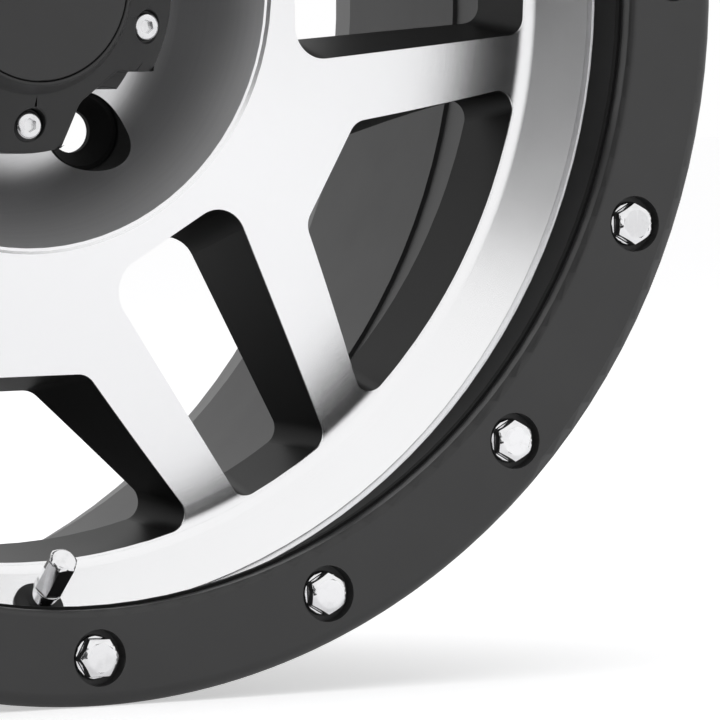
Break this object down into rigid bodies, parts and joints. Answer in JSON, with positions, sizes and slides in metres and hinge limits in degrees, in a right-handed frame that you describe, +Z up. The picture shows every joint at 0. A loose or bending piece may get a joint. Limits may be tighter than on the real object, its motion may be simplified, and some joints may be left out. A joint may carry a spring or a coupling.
{
  "type": "alloy wheel",
  "caption": "Deep-barrel alloy wheel with paired flat spokes, machined lip, black bolted lip ring, bolted centre cap and a snap-in tyre valve with a screw cap.",
  "frame": {"origin": "centre of the hub bore on the hub mounting face", "axes": "+Y along the wheel's axis into the car, outer face looks along -Y, +Z up with the valve at the bottom"},
  "size_m": [0.4969, 0.2619, 0.497],
  "materials": {
    "wheel_alloy": "machined face, satin bowl, dark painted windows",
    "ring_black": "satin black coat",
    "bolt_chrome": "bright",
    "cap_black": "satin black",
    "disc_black": "satin black",
    "screw_steel": "bright zinc",
    "valve_rubber": "moulded",
    "valve_chrome": "bright",
    "valve_brass": "turned",
    "seal_rubber": "moulded",
    "spring_steel": "drawn wire"
  },
  "bodies": {
    "wheel": {"wheel_casting": "wheel_alloy", "lip_ring": "ring_black", "ring_bolts": "bolt_chrome", "centre_cap": "cap_black", "cap_disc": "disc_black", "cap_screws": "screw_steel", "valve_body": "valve_rubber", "valve_sleeve": "valve_chrome", "valve_insert": "valve_brass", "core_plug": "valve_brass", "core_gasket": "seal_rubber", "core_spring": "spring_steel"},
    "cap_seal": {"cap_gasket": "seal_rubber"},
    "cap_shell": {"valve_cap": "valve_chrome"},
    "core_pin": {"core_pin": "valve_brass", "core_seal": "seal_rubber"}
  },
  "joints": [
    {"name": "cap_lift", "type": "slide", "parent": "wheel", "child": "cap_seal", "axis": [0.0065, -0.7843, 0.6203], "range_m": [0, 0.0127]},
    {"name": "cap_turn", "type": "hinge", "parent": "cap_seal", "child": "cap_shell", "pos_m": [-0.00226, -0.05199, -0.21599], "axis": [0.0065, -0.7843, 0.6203], "range_deg": [0, 5760]},
    {"name": "pin_press", "type": "slide", "parent": "wheel", "child": "core_pin", "axis": [-0.0065, 0.7843, -0.6203], "range_m": [0, 0.0012], "stiffness_N_per_m": 1500, "springref_m": -0.0015, "deforming": ["core_spring"]}
  ],
  "couplings": [
    {"joint": "cap_turn", "follows": "cap_lift", "rad_per_m": 7913.3}
  ]
}
